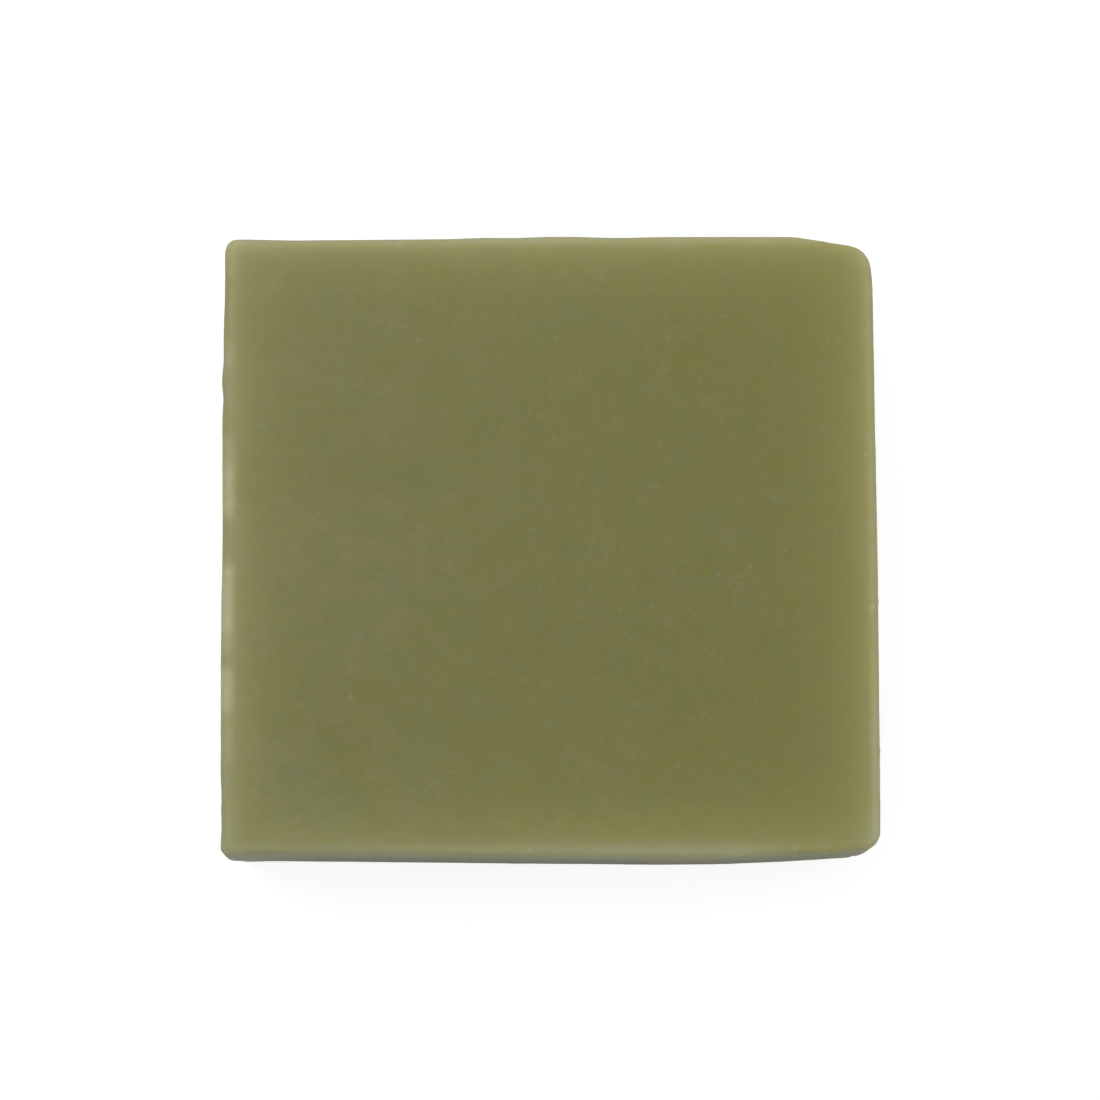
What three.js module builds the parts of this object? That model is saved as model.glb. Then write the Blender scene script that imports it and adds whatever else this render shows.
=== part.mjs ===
// Shaving soap puck: a squarish slab of cured soap, cut from a loaf, with edges and corners softened by hand.
// The whole object is one piece of soap, so the group holds one mesh.
//
// Frame: millimetres, +Z up. The puck lies flat on one of its two large faces. The origin is the middle of its
// outline, on that resting face. +X runs along its longer sides, from left to right, and +Y from front to back.

import * as THREE from "three";

// Overall size.
const WIDTH = 70;
const DEPTH = 66.8;
const THICKNESS = 25;

// Rounding all round both large faces.
const EDGE_RADIUS = 1.2;

// How far the hand cut strays from a true rectangle.
const SIDE_LEAN = 0.05; // the left and right sides each run in towards the back by this much
const FRONT_BEND_X = 13; // the front side bows forward, furthest about here
const FRONT_LEFT_RISE = 0.7; // how far back from that bend the front side's left end lies
const FRONT_RIGHT_RISE = 0.65; // and its right end
const FRONT_STRAIGHT = 2.2; // the bow stops this far short of the eased front right corner
const BACK_LEFT_DROP = 0.1; // how far forward of the back side's furthest point its left end lies
const SHOULDER_LENGTH = 7.5; // the back side is worn down over this much of its right end
const SHOULDER_DROP = 1.2; // and by this much at the corner

// How far back along its two sides each bend of the flat face is eased.
const FRONT_LEFT_EASE = 0.3;
const FRONT_RIGHT_EASE = 2.0;
const BACK_RIGHT_EASE = 2.1;
const SHOULDER_EASE = 2.6;
const BACK_LEFT_EASE = 0.5;

// How finely the curves are cut into flats.
const EASE_SEGMENTS = 8;
const EDGE_SEGMENTS = 6;

// The bends of the flat face, counter-clockwise seen from above. The face is the puck's outline drawn in by the
// edge radius, so the rounding carries it back out to the full width and depth.
function faceBends() {
  const right = WIDTH / 2 - EDGE_RADIUS;
  const left = -right;
  const back = DEPTH / 2 - EDGE_RADIUS;
  const front = -back;
  const backRightX = right - SIDE_LEAN;
  const frontRightRun = Math.hypot(right - FRONT_BEND_X, FRONT_RIGHT_RISE);
  const bowEase = frontRightRun - FRONT_RIGHT_EASE - FRONT_STRAIGHT;
  return [
    { x: left, y: front + FRONT_LEFT_RISE, ease: FRONT_LEFT_EASE },
    { x: FRONT_BEND_X, y: front, ease: bowEase },
    { x: right, y: front + FRONT_RIGHT_RISE, ease: FRONT_RIGHT_EASE },
    { x: backRightX, y: back - SHOULDER_DROP, ease: BACK_RIGHT_EASE },
    { x: backRightX - SHOULDER_LENGTH, y: back, ease: SHOULDER_EASE },
    { x: left + SIDE_LEAN, y: back - BACK_LEFT_DROP, ease: BACK_LEFT_EASE },
  ];
}

// The point a given distance from one bend towards another.
function towards(from, to, distance) {
  const start = new THREE.Vector2(from.x, from.y);
  const step = new THREE.Vector2(to.x, to.y).sub(start).setLength(distance);
  return start.add(step);
}

// Straight sides joined by a curve at each bend.
function easedOutline(bends) {
  const outline = new THREE.Shape();
  bends.forEach((bend, i) => {
    const before = bends.at(i - 1);
    const after = bends[(i + 1) % bends.length];
    const curveStart = towards(bend, before, bend.ease);
    const curveEnd = towards(bend, after, bend.ease);
    if (i === 0) {
      outline.moveTo(curveStart.x, curveStart.y);
    } else {
      outline.lineTo(curveStart.x, curveStart.y);
    }
    outline.quadraticCurveTo(bend.x, bend.y, curveEnd.x, curveEnd.y);
  });
  outline.closePath();
  return outline;
}

// The slab, with a quarter-round edge between each large face and the sides. Easing the bends takes a hair off the
// furthest points, so the slab is then drawn out to its full width and depth.
function slabGeometry() {
  const geometry = new THREE.ExtrudeGeometry(easedOutline(faceBends()), {
    depth: THICKNESS - 2 * EDGE_RADIUS,
    bevelEnabled: true,
    bevelSize: EDGE_RADIUS,
    bevelThickness: EDGE_RADIUS,
    bevelSegments: EDGE_SEGMENTS,
    curveSegments: EASE_SEGMENTS,
  });
  geometry.computeBoundingBox();
  const middle = geometry.boundingBox.getCenter(new THREE.Vector3());
  const size = geometry.boundingBox.getSize(new THREE.Vector3());
  geometry.translate(-middle.x, -middle.y, EDGE_RADIUS);
  geometry.scale(WIDTH / size.x, DEPTH / size.y, 1);
  return geometry;
}

const soap = new THREE.MeshStandardMaterial({ color: 0x77754a, roughness: 0.5, metalness: 0 });

const soapPuck = new THREE.Mesh(slabGeometry(), soap);
soapPuck.name = "soap_puck";

const part = new THREE.Group();
part.add(soapPuck);

export default part;
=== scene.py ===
"""A slab of cured shaving soap, laid on a pale floor under soft light.

The slab is cut from a loaf and its edges are softened by hand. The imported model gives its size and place.
Everything is in metres, with +Z up. The slab rests on the floor at z = 0.
"""

import math

import bmesh
import bpy
from bpy.props import FloatProperty, FloatVectorProperty, PointerProperty
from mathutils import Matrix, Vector


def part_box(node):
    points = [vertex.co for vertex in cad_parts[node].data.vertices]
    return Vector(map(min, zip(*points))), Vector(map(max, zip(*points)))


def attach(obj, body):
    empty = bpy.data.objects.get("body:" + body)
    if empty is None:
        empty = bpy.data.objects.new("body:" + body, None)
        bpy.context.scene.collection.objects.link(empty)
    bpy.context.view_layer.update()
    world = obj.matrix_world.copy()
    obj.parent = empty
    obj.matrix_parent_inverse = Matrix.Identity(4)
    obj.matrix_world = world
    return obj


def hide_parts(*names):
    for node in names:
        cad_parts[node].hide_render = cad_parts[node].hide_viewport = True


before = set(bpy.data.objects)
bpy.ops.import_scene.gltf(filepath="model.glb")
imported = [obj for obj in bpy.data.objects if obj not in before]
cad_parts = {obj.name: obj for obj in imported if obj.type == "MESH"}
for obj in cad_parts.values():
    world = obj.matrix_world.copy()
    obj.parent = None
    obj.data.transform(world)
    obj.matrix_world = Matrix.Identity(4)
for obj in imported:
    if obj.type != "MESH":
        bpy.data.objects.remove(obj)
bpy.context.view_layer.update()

bl_info = {
    "name": "Shaving Soap Slab",
    "version": (1, 0, 0),
    "blender": (4, 5, 0),
    "location": "3D View > Sidebar > Soap",
    "description": "Models a hand-cut slab of shaving soap and the studio it is shown in",
    "category": "Add Mesh",
}

MM = 0.001
SLAB = "soap_slab"

LOW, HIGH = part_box("soap_puck")
WIDTH, DEPTH, THICKNESS = HIGH - LOW
MIDDLE = (LOW + HIGH) / 2

# The finished slab's size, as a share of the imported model's.
SNUG = 0.99999

# Two places closer than this are the same, while the block is cut.
TOUCH = 0.01 * MM


# ---------------------------------------------------------------- settings

class SlabSettings(bpy.types.PropertyGroup):
    """Sizes of the soap slab."""

    edge_radius: FloatProperty(
        name="Edge radius", description="Rounding all round both large faces",
        default=1.0 * MM, unit="LENGTH")
    front_bow: FloatProperty(
        name="Front bow", description="How far the front side bows out past its ends",
        default=0.7 * MM, unit="LENGTH")
    shoulder_wear: FloatProperty(
        name="Shoulder wear", description="How far the back right corner is worn down",
        default=1.5 * MM, unit="LENGTH")
    grain: FloatProperty(
        name="Mesh grain", description="Size of the finished mesh's faces",
        default=0.43 * MM, unit="LENGTH")
    cut_wave: FloatProperty(
        name="Cut wave", description="Height of the slow waves that the cutting wire left",
        default=0.08 * MM, unit="LENGTH")
    hand_wear: FloatProperty(
        name="Hand wear", description="Height of the small lumps that handling left",
        default=0.06 * MM, unit="LENGTH")


class FinishSettings(bpy.types.PropertyGroup):
    """Colours and finish of the soap."""

    body: FloatVectorProperty(
        name="Body", description="Colour of the soap away from its edges",
        default=(0.193, 0.187, 0.050), subtype="COLOR", min=0, max=1)
    # The rim colour is partly dried soap and partly a painted glow of light shining through the edges.
    rim: FloatVectorProperty(
        name="Rim", description="Colour that the soap dries to along its edges",
        default=(0.345, 0.324, 0.100), subtype="COLOR", min=0, max=1)
    # The cloud colour also paints the sheen of light towards the left.
    cloud: FloatVectorProperty(
        name="Cloud", description="Colour of the paler, cloudy patches",
        default=(0.236, 0.220, 0.095), subtype="COLOR", min=0, max=1)
    olive: FloatVectorProperty(
        name="Olive", description="Colour where the soap is least cloudy",
        default=(0.196, 0.191, 0.037), subtype="COLOR", min=0, max=1)
    green: FloatVectorProperty(
        name="Green", description="Colour where the soap is greenest",
        default=(0.165, 0.185, 0.078), subtype="COLOR", min=0, max=1)
    # The ash colour is partly dry dust and partly a painted highlight and reflection on the rounded edges; on
    # the sides it is the streaks and dust.
    ash: FloatVectorProperty(
        name="Ash", description="Colour of the dry bloom on the rounded edges",
        default=(0.45, 0.485, 0.515), subtype="COLOR", min=0, max=1)
    # The chalky colour is partly chalky marks and partly painted highlight on the left rounded edge.
    chalk_and_highlight: FloatVectorProperty(
        name="Chalk", description="Colour of the chalky marks along the left edge",
        default=(0.48, 0.45, 0.30), subtype="COLOR", min=0, max=1)
    # The side colour is partly the drier skin of the sides and partly painted shade on them.
    flank_and_shade: FloatVectorProperty(
        name="Flank", description="Colour that dulls the sides",
        default=(0.184, 0.181, 0.127), subtype="COLOR", min=0, max=1)
    speck: FloatVectorProperty(
        name="Speck", description="Colour of the small pale specks",
        default=(0.48, 0.47, 0.36), subtype="COLOR", min=0, max=1)
    roughness: FloatProperty(
        name="Roughness", description="Roughness of the waxy surface",
        default=0.46, min=0, max=1)
    ior: FloatProperty(
        name="IOR", description="Refractive index of the soap",
        default=1.45, min=1)
    gloss: FloatProperty(
        name="Gloss", description="Strength of the surface's shine",
        default=0.32, min=0, max=1)
    relief: FloatProperty(
        name="Relief", description="Height of the relief that is too fine for the mesh",
        default=0.05 * MM, unit="LENGTH")
    glow: FloatVectorProperty(
        name="Glow", description="How far red, green and blue light travel inside the soap, in millimetres",
        default=(3.6, 3.3, 1.4), min=0)


class StageSettings(bpy.types.PropertyGroup):
    """Floor, lights and camera."""

    floor_radius: FloatProperty(
        name="Floor radius", description="Radius of the round floor",
        default=3.0, unit="LENGTH")
    distance: FloatProperty(
        name="Distance", description="From the camera to the slab's upper face",
        default=0.4, unit="LENGTH")
    tilt: FloatProperty(
        name="Tilt", description="How far the camera leans from straight above",
        default=math.radians(6.5), subtype="ANGLE")
    roll: FloatProperty(
        name="Roll", description="Turn of the camera about its own line of sight",
        default=math.radians(-0.3), subtype="ANGLE")
    aim: FloatVectorProperty(
        name="Aim", description="Where the camera points, from the middle of the slab's upper face",
        default=(0.07 * MM, -0.68 * MM, 0), subtype="TRANSLATION")
    lens: FloatProperty(
        name="Lens", description="Focal length of the camera, in millimetres",
        default=123.2)
    key_power: FloatProperty(
        name="Key power", description="Power of the largest light, in watts",
        default=2.87)


# ---------------------------------------------------------------- modelling helpers

def work_on(piece):
    """Makes a piece the only selected one, and the active one."""
    bpy.ops.object.select_all(action="DESELECT")
    piece.select_set(True)
    bpy.context.view_layer.objects.active = piece


def select(piece, kind, wanted):
    """In edit mode, selects just the edges or faces that a test picks."""
    bpy.ops.mesh.select_all(action="DESELECT")
    shape = bmesh.from_edit_mesh(piece.data)
    for part in getattr(shape, kind):
        if wanted(part):
            part.select_set(True)
    bmesh.update_edit_mesh(piece.data)


def upright(edge):
    """Whether an edge runs straight up."""
    a, b = (v.co for v in edge.verts)
    return abs(a.z - b.z) > THICKNESS / 2


def at(edge, x, y):
    """Whether an upright edge stands at a place on the floor."""
    foot = edge.verts[0].co
    return upright(edge) and math.hypot(foot.x - x, foot.y - y) < 5 * TOUCH


def add_modifier(piece, kind, **settings):
    """Adds a modifier, with its settings, and applies it."""
    work_on(piece)
    bpy.ops.object.modifier_add(type=kind)
    modifier = piece.modifiers[-1]
    for name, value in settings.items():
        setattr(modifier, name, value)
    bpy.ops.object.modifier_apply(modifier=modifier.name)


# ---------------------------------------------------------------- the slab

CORNER_SEGMENTS = 8
BEND_SEGMENTS = 3
RIM_SEGMENTS = 6
CUT_WAVE_LENGTH = 16 * MM
HAND_LUMP_LENGTH = 3.2 * MM


def outline_bends(settings):
    """The outline's bends, anticlockwise from the front left, in metres.

    Each is (x and y on the plain block, how far it moves in x and y, ease to either side).
    """
    bow, wear = settings.front_bow / MM, settings.shoulder_wear / MM
    left, front = LOW.x / MM, LOW.y / MM
    right, back = HIGH.x / MM, HIGH.y / MM
    bends = [
        (left, front, 0.0, 0.78 * bow, 1.02),
        (-31.8, front, 0, bow, 1.6),
        (14.5, front, 0, 0, 3.5),
        (23, front, 0, 0.26 * bow, 3),
        (right, front, -0.14, 1.17 * bow, 1.9),
        (right, -14, 0, 0, 6),
        (right, 28.4, -0.09, 0, 1.5),
        (right, back, -0.51, -wear, 1.9),
        (26.6, back, 0, -0.15, 1.2),
        (13, back, 0, -0.07, 2.5),
        (6.8, back, 0, -0.17, 1.3),
        (3, back, 0, 0, 1.1),
        (0, back, 0, 0.02, 1.1),
        (-3.5, back, 0, -0.1, 1.4),
        (-7.4, back, 0, -0.06, 1),
        (-10, back, 0, -0.2, 1),
        (-28.3, back, 0, -0.27, 1),
        (-31.4, back, 0, -0.13, 1),
        (left, back, 0.28, -0.12, 1.3),
        (left, 26.5, 0.3, 0, 1.5),
        (left, 22.3, 0.16, 0, 0.9),
        (left, 20, 0.24, 0, 0.6),
        (left, 18, 0.02, 0, 0.5),
        (left, 15.9, 0.2, 0, 0.5),
        (left, 13.8, 0.09, 0, 0.9),
        (left, -1, 0.15, 0, 3),
        (left, -10, 0.01, 0, 3),
        (left, -22, 0.06, 0, 1.5),
        (left, -30.6, 0.2, 0, 1),
    ]
    return [tuple(value * MM for value in bend) for bend in bends]


def block_out(settings):
    """A block with the hand cut's uneven outline, bowed front and worn shoulder, and its edges rounded."""
    bpy.ops.object.select_all(action="DESELECT")
    bpy.ops.mesh.primitive_cube_add(size=1, location=MIDDLE, scale=(WIDTH, DEPTH, THICKNESS))
    piece = bpy.context.object
    piece.name = SLAB
    piece.data.name = SLAB
    bpy.ops.object.transform_apply(location=True, rotation=True, scale=True)
    bends = outline_bends(settings)
    bpy.ops.object.mode_set(mode="EDIT")
    for x, y, dx, dy, ease in bends:
        across = abs(x) < WIDTH / 2 - TOUCH
        if across or abs(y) < DEPTH / 2 - TOUCH:
            outward, cut = ((0, y, 0), (1, 0, 0)) if across else ((x, 0, 0), (0, 1, 0))
            select(piece, "faces", lambda face: face.normal.dot(outward) > 0.01)
            bpy.ops.mesh.bisect(plane_co=(x, y, 0), plane_no=cut)
    for x, y, dx, dy, ease in bends:
        select(piece, "edges", lambda edge: at(edge, x, y))
        bpy.ops.transform.translate(value=(dx, dy, 0))
    for x, y, dx, dy, ease in bends:
        corner = abs(x) + abs(y) > (WIDTH + DEPTH) / 2 - TOUCH
        segments = CORNER_SEGMENTS if corner else BEND_SEGMENTS
        select(piece, "edges", lambda edge: at(edge, x + dx, y + dy))
        bpy.ops.mesh.bevel(offset=ease, segments=segments, affect="EDGES")
    select(piece, "edges", rim_edge)
    bpy.ops.mesh.bevel(offset=settings.edge_radius, segments=RIM_SEGMENTS, affect="EDGES")
    bpy.ops.object.mode_set(mode="OBJECT")
    return piece


def rim_edge(edge):
    """Whether an edge lies between a large face and the sides."""
    if upright(edge) or len(edge.link_faces) != 2:
        return False
    flat = [abs(face.normal.z) > 0.5 for face in edge.link_faces]
    return flat[0] != flat[1]


def cloud_texture(name, size, depth):
    """A soft noise texture for a Displace modifier."""
    texture = bpy.data.textures.new(name, "CLOUDS")
    texture.noise_scale = size
    texture.noise_depth = depth
    return texture


def weather(piece, settings):
    """Gives the block an even mesh, with the slow waves of the cut and the small lumps of handling."""
    waves = cloud_texture("cut wave", CUT_WAVE_LENGTH, 1)
    lumps = cloud_texture("hand wear", HAND_LUMP_LENGTH, 2)
    add_modifier(piece, "REMESH", mode="VOXEL", voxel_size=settings.grain, use_smooth_shade=True)
    add_modifier(piece, "SMOOTH", factor=0.5, iterations=3)
    for texture, height in ((waves, settings.cut_wave), (lumps, settings.hand_wear)):
        add_modifier(
            piece, "DISPLACE", texture=texture, texture_coords="LOCAL", strength=height, mid_level=0.5)


# Nicks left by handling, as (place on the edges, how far it moves, how far round it the soap follows), all in
# millimetres.
NICKS = [
    ((-35.0, 16.2, 24.2), (0.08, 0, -0.06), 0.9),
    ((-35.0, -26.0, 24.3), (0.16, 0, -0.05), 0.7),
    ((-35.0, -26.9, 24.3), (0.16, 0, -0.05), 0.7),
    ((35.0, -6.4, 24.4), (0.08, 0, 0.05), 0.7),
    ((35.0, -22.0, 24.4), (0.08, 0, 0.05), 0.7),
    ((28.6, -32.9, 24.3), (0, -0.10, 0.05), 0.7),
    ((30.1, -32.8, 24.1), (0, -0.10, 0.03), 0.6),
    ((25.9, -33.0, 24.2), (0, 0.12, -0.05), 0.8),
]

# Where the front's corners swell below the rim, told in the same way.
SWELLINGS = [
    ((-34.6, -32.8, 17.0), (0, -0.38, 0), 9.0),
    ((33.5, -32.0, 14.0), (0, -0.22, 0), 8.0),
]


def push_and_pull(piece):
    """Makes the small nicks along the edges, and the swellings of the front's corners."""
    work_on(piece)
    bpy.ops.object.mode_set(mode="EDIT")
    for place, move, reach in NICKS + SWELLINGS:
        shape = bmesh.from_edit_mesh(piece.data)
        spot = Vector(place) * MM
        bpy.ops.mesh.select_all(action="DESELECT")
        nearest = min(shape.verts, key=lambda v: (v.co - spot).length_squared)
        nearest.select_set(True)
        bmesh.update_edit_mesh(piece.data)
        bpy.ops.transform.translate(
            value=Vector(move) * MM, use_proportional_edit=True, proportional_edit_falloff="SMOOTH",
            proportional_size=reach * MM)
    bpy.ops.object.mode_set(mode="OBJECT")


def fit_to_cad(piece):
    """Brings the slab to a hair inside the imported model's box, with its place in its mesh."""
    work_on(piece)
    places = [v.co for v in piece.data.vertices]
    low = Vector(min(p[i] for p in places) for i in range(3))
    high = Vector(max(p[i] for p in places) for i in range(3))
    scale = Vector((HIGH - LOW)[i] * SNUG / (high - low)[i] for i in range(3))
    piece.scale = scale
    bpy.ops.object.transform_apply(location=True, rotation=True, scale=True)
    piece.location = LOW + (HIGH - LOW) * (1 - SNUG) / 2 - low * scale
    piece.location.z = LOW.z - low.z * scale.z
    bpy.ops.object.transform_apply(location=True, rotation=True, scale=True)


# ---------------------------------------------------------------- shading helpers

class Value:
    """A socket, wrapped so that arithmetic on it adds Math nodes."""

    def __init__(self, shader, socket):
        self.shader = shader
        self.socket = socket

    def math(self, operation, *values, clamp=False):
        settings = {"operation": operation, "use_clamp": clamp}
        return self.shader.node("ShaderNodeMath", settings, dict(enumerate(values)))[0]

    def __add__(self, other):
        return self.math("ADD", self, other)

    def __radd__(self, other):
        return self.math("ADD", other, self)

    def __sub__(self, other):
        return self.math("SUBTRACT", self, other)

    def __rsub__(self, other):
        return self.math("SUBTRACT", other, self)

    def __mul__(self, other):
        return self.math("MULTIPLY", self, other)

    def __rmul__(self, other):
        return self.math("MULTIPLY", other, self)

    def __truediv__(self, other):
        return self.math("DIVIDE", self, other)

    def __pow__(self, other):
        return self.math("POWER", self, other)

    def __abs__(self):
        return self.math("ABSOLUTE", self)

    def at_least(self, other):
        return self.math("MAXIMUM", self, other)

    def at_most(self, other):
        return self.math("MINIMUM", self, other)

    def exp(self):
        return self.math("EXPONENT", self)

    def clamped(self):
        return self.math("ADD", self, 0, clamp=True)

    def ramp(self, start, end):
        """Rises smoothly from 0 at start to 1 at end, or falls if end is below start."""
        low, high, to_low, to_high = (start, end, 0, 1) if start < end else (end, start, 1, 0)
        settings = {"interpolation_type": "SMOOTHSTEP"}
        values = {"Value": self, "From Min": low, "From Max": high, "To Min": to_low, "To Max": to_high}
        return self.shader.node("ShaderNodeMapRange", settings, values)["Result"]


class Shader:
    """A material's or world's node tree, emptied and ready to be filled."""

    def __init__(self, owner):
        owner.use_nodes = True
        self.tree = owner.node_tree
        self.tree.nodes.clear()

    def node(self, kind, settings=None, values=None):
        """Adds a node, makes its settings, and gives its sockets values or links. Returns its outputs."""
        node = self.tree.nodes.new(kind)
        for name, setting in (settings or {}).items():
            setattr(node, name, setting)
        for name, value in (values or {}).items():
            socket = node.inputs[name]
            if isinstance(value, Value):
                self.tree.links.new(value.socket, socket)
            else:
                socket.default_value = value
        return Outputs(self, node)

    def mix(self, factor, first, second):
        """Mixes two colours."""
        inputs = {0: factor, 6: opaque(first), 7: opaque(second)}
        return self.node("ShaderNodeMix", {"data_type": "RGBA"}, inputs)[2]

    def stretch(self, vector, scale):
        """Multiplies a vector by three numbers."""
        return self.node("ShaderNodeVectorMath", {"operation": "MULTIPLY"}, {0: vector, 1: scale})[0]

    def noise(self, vector, scale, detail=2.0, roughness=0.5, distortion=0.0):
        """A noise value from 0 to 1."""
        values = {
            "Vector": vector, "Scale": scale, "Detail": detail,
            "Roughness": roughness, "Distortion": distortion,
        }
        return self.node("ShaderNodeTexNoise", None, values)[0]


class Outputs:
    """A node's outputs, by name or number, wrapped as values."""

    def __init__(self, shader, node):
        self.shader = shader
        self.node = node

    def __getitem__(self, name):
        return Value(self.shader, self.node.outputs[name])


def opaque(colour):
    """A colour as a socket takes it, with its alpha."""
    return colour if isinstance(colour, Value) else (*colour, 1)


# ---------------------------------------------------------------- the soap's finish

# Noises, as (scale per millimetre, detail, roughness, distortion).
DRIFT = (0.05, 4, 0.6, 0.5)
GREEN_DRIFT = (0.055, 2, 0.5)
MOTTLE = (0.22, 6, 1.0)
TINT = (0.28, 5, 0.9)
HUE = (0.3, 4, 0.9)
DUST = (0.55, 3, 0.6)
CURD = (1.1, 4, 0.9)
GRAIN = (2.6, 3, 0.6)
RAGGED = (2.7, 3, 0.7)
STREAKS = (1.0, 4, 0.65, 0.4)
DRAG = (1.0, 2, 0.5)

# Stretches of the noises that run along the cuts.
STREAK_STRETCH = (0.1, 0.1, 0.6)
DRAG_STRETCH = (0.05, 1.7, 1.7)

# How far in from the edges their colours reach, in millimetres: the rim reaches are those of the drying and
# the painted glow, the last that of the dust and the painted highlight.
RIM_REACH = 3.2
RIGHT_RIM_REACH = 6.5
BLOOM_AND_HIGHLIGHT_REACH = 0.9

# Cells that may each hold one small speck, per millimetre.
SPECK_CELLS = 0.72

# The largest specks in the upper face, and crumbs on its edges, as (x, y, radius, strength). The first three
# numbers are in millimetres.
SPECKS = [
    (21.3, -2.5, 0.30, 0.5),
    (-13.1, -26.3, 0.26, 0.42),
    (-14.0, 22.0, 0.26, 0.42),
    (25.1, -0.7, 0.24, 0.4),
    (23.9, 4.8, 0.24, 0.4),
    (10.8, -6.8, 0.26, 0.4),
    (-10.3, -24.2, 0.24, 0.36),
    (17.9, -3.4, 0.32, 0.36),
    (0.6, 11.4, 0.34, 0.38),
    (-21.2, -16.1, 0.24, 0.36),
    (-5.7, -4.3, 0.24, 0.36),
    (10.3, 22.6, 0.24, 0.36),
    (-11.1, 8.0, 0.22, 0.36),
    (5.7, -15.4, 0.22, 0.36),
    (-0.9, 19.4, 0.22, 0.34),
    (24.6, 22.3, 0.30, 0.3),
    (34.4, -6.9, 0.42, 1.4),
    (34.2, -7.4, 0.36, 1.0),
    (33.8, 9.4, 0.20, 1.0),
    (25.8, -32.6, 0.42, 1.2),
    (27.0, -32.65, 0.42, 0.9),
    (27.7, -32.65, 0.36, 0.7),
    (-2.2, -32.55, 0.36, 0.9),
    (-17.0, 32.7, 0.50, 0.6),
    (-15.9, 32.6, 0.50, 0.6),
    (-6.9, 32.8, 0.40, 0.6),
]

# Chalky marks along the left edge, partly painted highlight where its rounding catches the light, as (middle,
# half length, strength), in millimetres towards the back.
CHALK_AND_HIGHLIGHTS = [
    (31.0, 1.5, 0.3),
    (20.4, 1.2, 0.35),
    (9.7, 1.9, 0.45),
    (5.6, 2.4, 0.85),
    (-5.4, 3.4, 0.92),
    (-9.8, 1.5, 0.5),
    (-15.4, 2.3, 0.87),
    (-20.5, 2.5, 0.3),
]


class SoapPoint:
    """The shaded point's place in the slab, in millimetres."""

    def __init__(self, shader):
        self.shader = shader
        metres = shader.node("ShaderNodeTexCoord")["Object"]
        self.vector = shader.stretch(metres, (1 / MM, 1 / MM, 1 / MM))
        axes = shader.node("ShaderNodeSeparateXYZ", None, {0: self.vector})
        self.x, self.y, self.z = (axes[axis] for axis in "XYZ")
        self.leftness = (self.x * -1).ramp(-14, 34)
        self.height = self.z.at_most(THICKNESS / MM - self.z)

    def noise(self, noise, stretch=None):
        """One of the noises, stretched if asked."""
        vector = self.shader.stretch(self.vector, stretch) if stretch else self.vector
        return self.shader.noise(vector, *noise)

    def nearness(self, reach):
        """1 on the slab's edges, fading over a distance in millimetres, and smooth round its corners."""
        across = WIDTH / MM / 2 - abs(self.x)
        along = DEPTH / MM / 2 - abs(self.y)
        a, b, c = ((gap.at_least(0) * (-1 / reach)).exp() for gap in (across, along, self.height))
        return (a * b + b * c + c * a - a * b * c * 2).clamped()


def inner_colour(shader, finish, point, drift, mottle):
    """Inside: slow clouds towards the left, there partly a painted sheen of light from the left that also
    leaves the right more olive, a finer mottle all over, and green or olive drifts.
    """
    curd = point.noise(CURD)
    tint = point.noise(TINT, (1, 1, -1))
    hue = point.noise(HUE, (-1, 1, 1))
    # Painted sheen: the leftness terms here and in the olive mix make the left paler and the right more
    # olive, as the light falls from the left.
    cloudy_and_sheen = drift.ramp(0.4, 0.66) * (point.leftness * 0.42 + 0.1)
    cloudy_and_sheen = cloudy_and_sheen + (mottle - 0.5) * 3.2 + (curd - 0.5) * 2.1 + 0.1
    olive = (tint - 0.5) * 3.6 + (1 - point.leftness) * 0.35 + point.y.ramp(5, 32) * 0.2
    green = point.noise(GREEN_DRIFT).ramp(0.44, 0.66) * point.leftness * point.y.ramp(16, -28)
    green = green * 0.4 + (hue - 0.5) * 2.5 + 0.06
    colour = shader.mix(cloudy_and_sheen.clamped(), finish.body, finish.cloud)
    colour = shader.mix(olive.clamped(), colour, finish.olive)
    return shader.mix(green.clamped(), colour, finish.green)


def dried_and_glowing_rim(shader, finish, point, colour):
    """Along the edges the soap is paler: partly it dries paler, and partly it holds a painted glow of light
    shining through its thin edges. This is least at the front and more widely towards the right.
    """
    x, y = point.x, point.y
    # Painted glow of light through the edges, with the real drying: less at the front and on the outermost
    # left, wider on the right.
    front = y.ramp(-29, -32.5) * 0.17
    left = (x * -1).ramp(33.2, 34.6) * 0.26
    glow = point.nearness(RIM_REACH) * (0.88 - front - left)
    glow = glow + point.nearness(RIGHT_RIM_REACH) * (1 - point.leftness) * 0.12
    return shader.mix(glow, colour, finish.rim)


def dust_bloom_and_highlight(point, dust):
    """How dusty the soap is, with a painted pale highlight and grey reflection on the rounded edges: most on
    the rounding, and a little past it except on the left.
    """
    x, y = point.x, point.y
    # Painted highlight and reflection: the rounding and the bands along the front, back and right are partly
    # dry dust and partly painted light.
    rounding = point.nearness(BLOOM_AND_HIGHLIGHT_REACH) * (point.leftness * 0.1 + dust * 0.15 + 0.33)
    front = y.ramp(-31.2, -32.6) * x.ramp(28, 20) * 0.1
    back = y.ramp(31.8, 33.2) * 0.1
    front_right = x.ramp(33.6, 34.6) * y.ramp(-10, -22) * 0.15
    right_corners = x.ramp(30.5, 34) * abs(y).ramp(27.5, 31.5) * 0.1
    return rounding + front + back + front_right + right_corners


def chalk_and_highlight_marks(point, mottle):
    """How chalky the soap is, with painted highlight where the left rounding catches the light: in ragged
    marks along the left edge, that fade down its side.
    """
    along = sum(abs(point.y - middle).ramp(half + 1, half - 1) * peak for middle, half, peak in CHALK_AND_HIGHLIGHTS)
    across = (point.x * -1).ramp(32.9, 34.2) * point.z.ramp(20.5, 23.5)
    return (along * across * mottle * 1.4).clamped()


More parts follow.
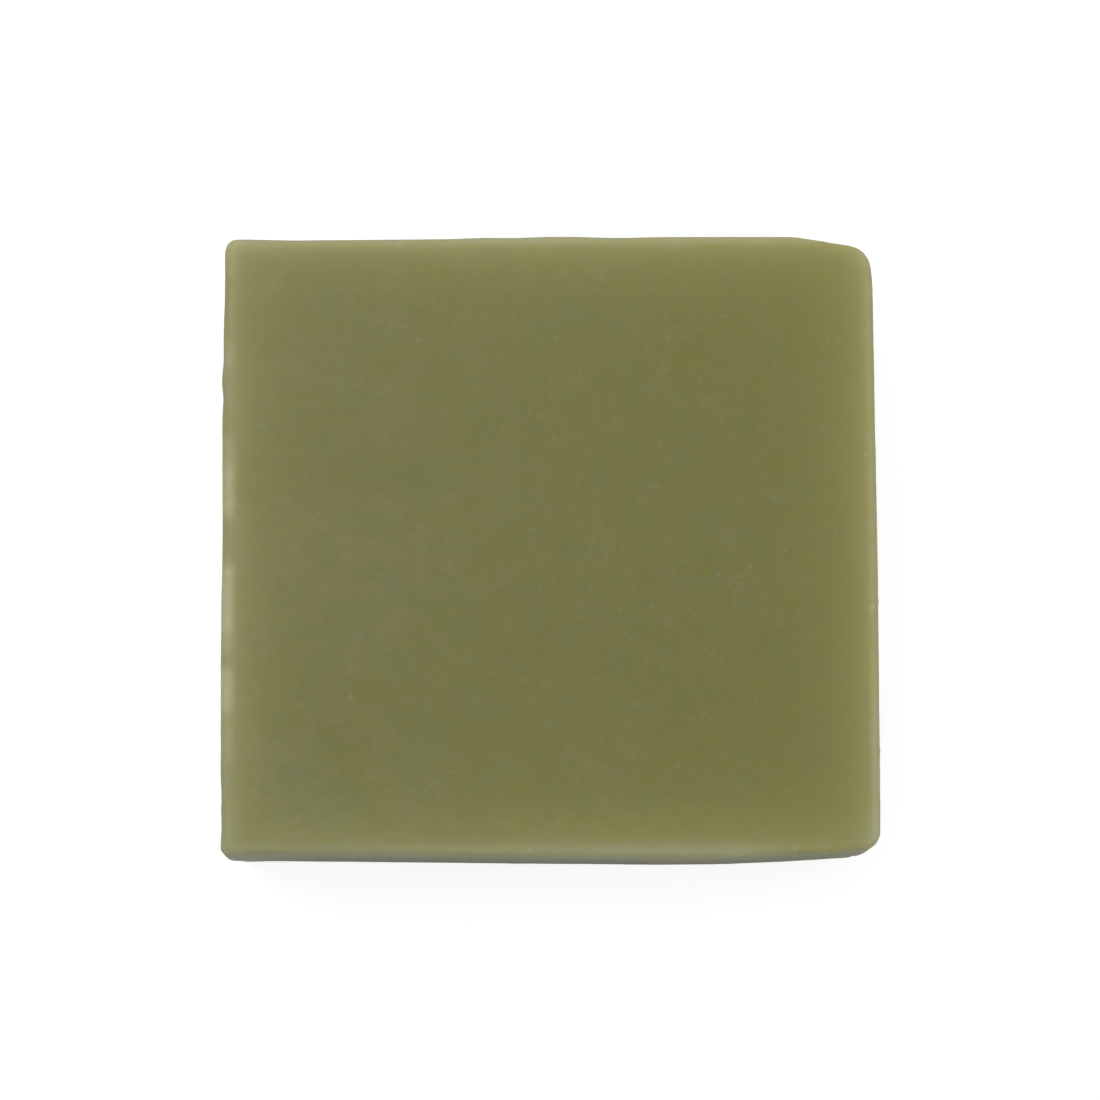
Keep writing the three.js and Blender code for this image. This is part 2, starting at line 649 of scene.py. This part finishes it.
def side_skin_and_shade(shader, finish, point, colour, drift, dust):
    """On the sides: a dull skin, partly drier soap and partly painted shade that darkens the sides and outer
    rounding, with faint streaks where the cutter dragged.
    """
    # Painted shade: the sides and outer rounding are greyed and darkened where shade falls on them.
    side = point.height.ramp(0.2, 1.4)
    streaks = point.noise(STREAKS, STREAK_STRETCH).ramp(0.42, 0.72)
    colour = shader.mix(side * (drift * 0.5 + 0.2), colour, finish.flank_and_shade)
    return shader.mix(side * (streaks * 0.09 + dust * 0.07), colour, finish.ash)


def soap_specks(shader, point):
    """Specks of salt and trapped air: the largest by place, and small ones by chance."""
    cells = {"Vector": point.vector, "Scale": SPECK_CELLS, "Randomness": 1.0}
    cell = shader.node("ShaderNodeTexVoronoi", {"feature": "F1"}, cells)
    luck = shader.node("ShaderNodeSeparateColor", None, {0: cell["Color"]})
    size = luck["Green"] * 0.09 + 0.12
    strength = luck["Blue"] ** 3.0 * 0.25 + (point.x + point.y) * 0.0015 + 0.07
    specks = (cell["Distance"] / size).ramp(1.2, 0.3) * strength.clamped()
    ragged = (point.noise(RAGGED) - 0.5) * 0.5
    for x, y, radius, peak in SPECKS:
        gap = {0: point.vector, 1: (x, y, THICKNESS / MM)}
        distance = shader.node("ShaderNodeVectorMath", {"operation": "DISTANCE"}, gap)["Value"]
        specks = specks.at_least((distance + ragged).ramp(radius * 1.25, radius * 0.3) * peak)
    return specks


def soap_material(finish):
    """Translucent olive soap: clouded and specked inside, with painted sheen towards the left; paler and
    dusty along its edges, there partly painted glow and highlight, with painted shade on its sides.
    """
    material = bpy.data.materials.new("soap")
    shader = Shader(material)
    point = SoapPoint(shader)
    drift = point.noise(DRIFT)
    mottle = point.noise(MOTTLE)
    dust = point.noise(DUST).ramp(0.44, 0.7)
    bloom_and_highlight = dust_bloom_and_highlight(point, dust)
    specks = soap_specks(shader, point)

    # The colour mixes below also paint light: sheen towards the left, glow through the edges, highlight on
    # the rounding and the left edge, and shade on the sides.
    colour = inner_colour(shader, finish, point, drift, mottle)
    colour = dried_and_glowing_rim(shader, finish, point, colour)
    colour = shader.mix(bloom_and_highlight, colour, finish.ash)
    colour = shader.mix(chalk_and_highlight_marks(point, mottle), colour, finish.chalk_and_highlight)
    colour = side_skin_and_shade(shader, finish, point, colour, drift, dust)
    colour = shader.mix(specks * 0.24, colour, finish.speck)

    # Relief too fine for the mesh: wax grain, drag lines of the cutting wire, the specks and the dust.
    grain = point.noise(GRAIN)
    drag = point.noise(DRAG, DRAG_STRETCH)
    height = grain * 0.35 + drag * 0.4 + specks.at_most(0.7) * 0.5 + bloom_and_highlight * mottle * 0.6
    relief = {"Strength": 0.5, "Distance": finish.relief, "Height": height}
    bump = shader.node("ShaderNodeBump", None, relief)

    roughness = finish.roughness + (mottle - 0.5) * 0.3 + (grain - 0.5) * 0.1 + bloom_and_highlight * 0.3
    surface = shader.node("ShaderNodeBsdfPrincipled", {"subsurface_method": "RANDOM_WALK"}, {
        "Base Color": colour,
        "Roughness": roughness.clamped(),
        "Metallic": 0.0,
        "IOR": finish.ior,
        "Specular IOR Level": finish.gloss,
        "Subsurface Weight": 1.0,
        "Subsurface Radius": tuple(finish.glow),
        "Subsurface Scale": MM,
        "Normal": bump["Normal"],
    })
    shader.node("ShaderNodeOutputMaterial", None, {"Surface": surface["BSDF"]})
    return material


class SOAP_OT_slab(bpy.types.Operator):
    """Model the slab of soap and give it its finish"""

    bl_idname = "soap.slab"
    bl_label = "Soap slab"

    def execute(self, context):
        slab = context.scene.soap_slab
        piece = block_out(slab)
        weather(piece, slab)
        push_and_pull(piece)
        fit_to_cad(piece)
        work_on(piece)
        bpy.ops.object.shade_smooth()
        piece.data.materials.clear()
        piece.data.materials.append(soap_material(context.scene.soap_finish))
        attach(piece, "root")
        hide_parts("soap_puck")
        return {"FINISHED"}


# ---------------------------------------------------------------- the stage

WHITE = (1, 1, 1, 1)
PAPER = (0.72, 0.72, 0.72, 1)
PAPER_SEEN = (0.3, 0.3, 0.3, 1)
PAPER_SHINE = 0.83
SKY = (0.93, 0.96, 1, 1)
SKY_POWER = 0.42

# Where the floor starts to fade to plain white, and where it has done so.
FADE_START = 0.12
FADE_END = 0.6

# The soft lights, as (name, place, width, share of the key's power, colour), in metres.
LIGHTS = [
    ("key", (-0.25, 0.2, 0.72), 0.5, 1.0, (1, 0.985, 0.96)),
    ("side", (0.52, 0.02, 0.42), 0.4, 0.34, (1, 0.97, 0.92)),
    ("back", (0.05, 0.56, 0.4), 0.4, 0.12, (1, 0.98, 0.95)),
    ("front", (0.05, -0.56, 0.4), 0.4, 0.065, (1, 0.98, 0.95)),
]


def floor_material():
    """White paper, shown a little brighter than it is, so that no horizon shows and shadows stay faint."""
    material = bpy.data.materials.new("floor")
    shader = Shader(material)
    coordinates = shader.node("ShaderNodeTexCoord")["Object"]
    distance = shader.node("ShaderNodeVectorMath", {"operation": "LENGTH"}, {0: coordinates})["Value"]
    seen = shader.node("ShaderNodeLightPath")["Is Camera Ray"]
    paper = shader.node("ShaderNodeBsdfDiffuse", None, {"Color": PAPER})
    faint = shader.node("ShaderNodeBsdfDiffuse", None, {"Color": PAPER_SEEN})
    shine = shader.node("ShaderNodeEmission", None, {"Color": WHITE, "Strength": PAPER_SHINE})
    haze = shader.node("ShaderNodeEmission", None, {"Color": WHITE, "Strength": 1.0})
    near = shader.node("ShaderNodeAddShader", None, {0: faint["BSDF"], 1: shine["Emission"]})
    blend = {0: distance.ramp(FADE_START, FADE_END), 1: near["Shader"], 2: haze["Emission"]}
    shown = shader.node("ShaderNodeMixShader", None, blend)
    either = {0: seen, 1: paper["BSDF"], 2: shown["Shader"]}
    surface = shader.node("ShaderNodeMixShader", None, either)
    shader.node("ShaderNodeOutputMaterial", None, {"Surface": surface["Shader"]})
    return material


def lay_floor(radius):
    """A round floor at the slab's foot."""
    bpy.ops.object.select_all(action="DESELECT")
    bpy.ops.mesh.primitive_circle_add(vertices=128, radius=radius, fill_type="NGON", location=(0, 0, LOW.z))
    floor = bpy.context.object
    floor.name = "floor"
    floor.data.materials.append(floor_material())


def add_light(name, place, width, power, colour):
    """A square soft light that faces the slab."""
    bpy.ops.object.light_add(type="AREA", location=place)
    light = bpy.context.object
    light.name = name
    light.rotation_euler = (MIDDLE - Vector(place)).to_track_quat("-Z", "Y").to_euler()
    light.data.size = width
    light.data.energy = power
    light.data.color = colour
    light.visible_camera = False


def surround(scene):
    """A pale surround: white where the camera sees it, and dimmer where it lights the slab."""
    world = bpy.data.worlds.new("surround")
    scene.world = world
    shader = Shader(world)
    seen = shader.node("ShaderNodeLightPath")["Is Camera Ray"]
    fill = shader.node("ShaderNodeBackground", None, {"Color": SKY, "Strength": SKY_POWER})
    white = shader.node("ShaderNodeBackground", None, {"Color": WHITE, "Strength": 1.0})
    either = {0: seen, 1: fill["Background"], 2: white["Background"]}
    shown = shader.node("ShaderNodeMixShader", None, either)
    shader.node("ShaderNodeOutputWorld", None, {"Surface": shown["Shader"]})


def set_camera(scene, stage):
    """A long lens nearly straight above the slab, leaning a little to the front."""
    aim = Vector((MIDDLE.x, MIDDLE.y, HIGH.z)) + Vector(stage.aim)
    back = Vector((0, -math.sin(stage.tilt), math.cos(stage.tilt)))
    bpy.ops.object.camera_add(location=aim + back * stage.distance)
    camera = bpy.context.object
    camera.name = "camera"
    camera.rotation_euler = (stage.tilt, 0, 0)
    camera.rotation_euler.rotate_axis("Z", stage.roll)
    camera.data.lens = stage.lens
    camera.data.sensor_width = 36
    camera.data.clip_start = 0.01
    scene.camera = camera


class SOAP_OT_stage(bpy.types.Operator):
    """Lay the floor and set the lights and the camera"""

    bl_idname = "soap.stage"
    bl_label = "Stage"

    def execute(self, context):
        scene = context.scene
        stage = scene.soap_stage
        lay_floor(stage.floor_radius)
        surround(scene)
        for name, place, width, share, colour in LIGHTS:
            add_light(name, place, width, stage.key_power * share, colour)
        set_camera(scene, stage)
        scene.view_settings.view_transform = "Standard"
        return {"FINISHED"}


class SOAP_PT_panel(bpy.types.Panel):
    """Lists the soap slab and its stage in the sidebar."""

    bl_idname = "SOAP_PT_panel"
    bl_label = "Shaving Soap Slab"
    bl_space_type = "VIEW_3D"
    bl_region_type = "UI"
    bl_category = "Soap"

    def draw(self, context):
        scene = context.scene
        groups = [
            (SOAP_OT_slab, (scene.soap_slab, scene.soap_finish)),
            (SOAP_OT_stage, (scene.soap_stage,)),
        ]
        for operator, all_settings in groups:
            box = self.layout.box()
            for settings in all_settings:
                for name in settings.__annotations__:
                    box.prop(settings, name)
            box.operator(operator.bl_idname)


CLASSES = [SlabSettings, FinishSettings, StageSettings, SOAP_OT_slab, SOAP_OT_stage, SOAP_PT_panel]


def register():
    for cls in CLASSES:
        bpy.utils.register_class(cls)
    bpy.types.Scene.soap_slab = PointerProperty(type=SlabSettings)
    bpy.types.Scene.soap_finish = PointerProperty(type=FinishSettings)
    bpy.types.Scene.soap_stage = PointerProperty(type=StageSettings)


def unregister():
    del bpy.types.Scene.soap_stage
    del bpy.types.Scene.soap_finish
    del bpy.types.Scene.soap_slab
    for cls in reversed(CLASSES):
        bpy.utils.unregister_class(cls)


def main():
    register()
    bpy.ops.soap.slab()
    bpy.ops.soap.stage()


if __name__ == "__main__":
    main()
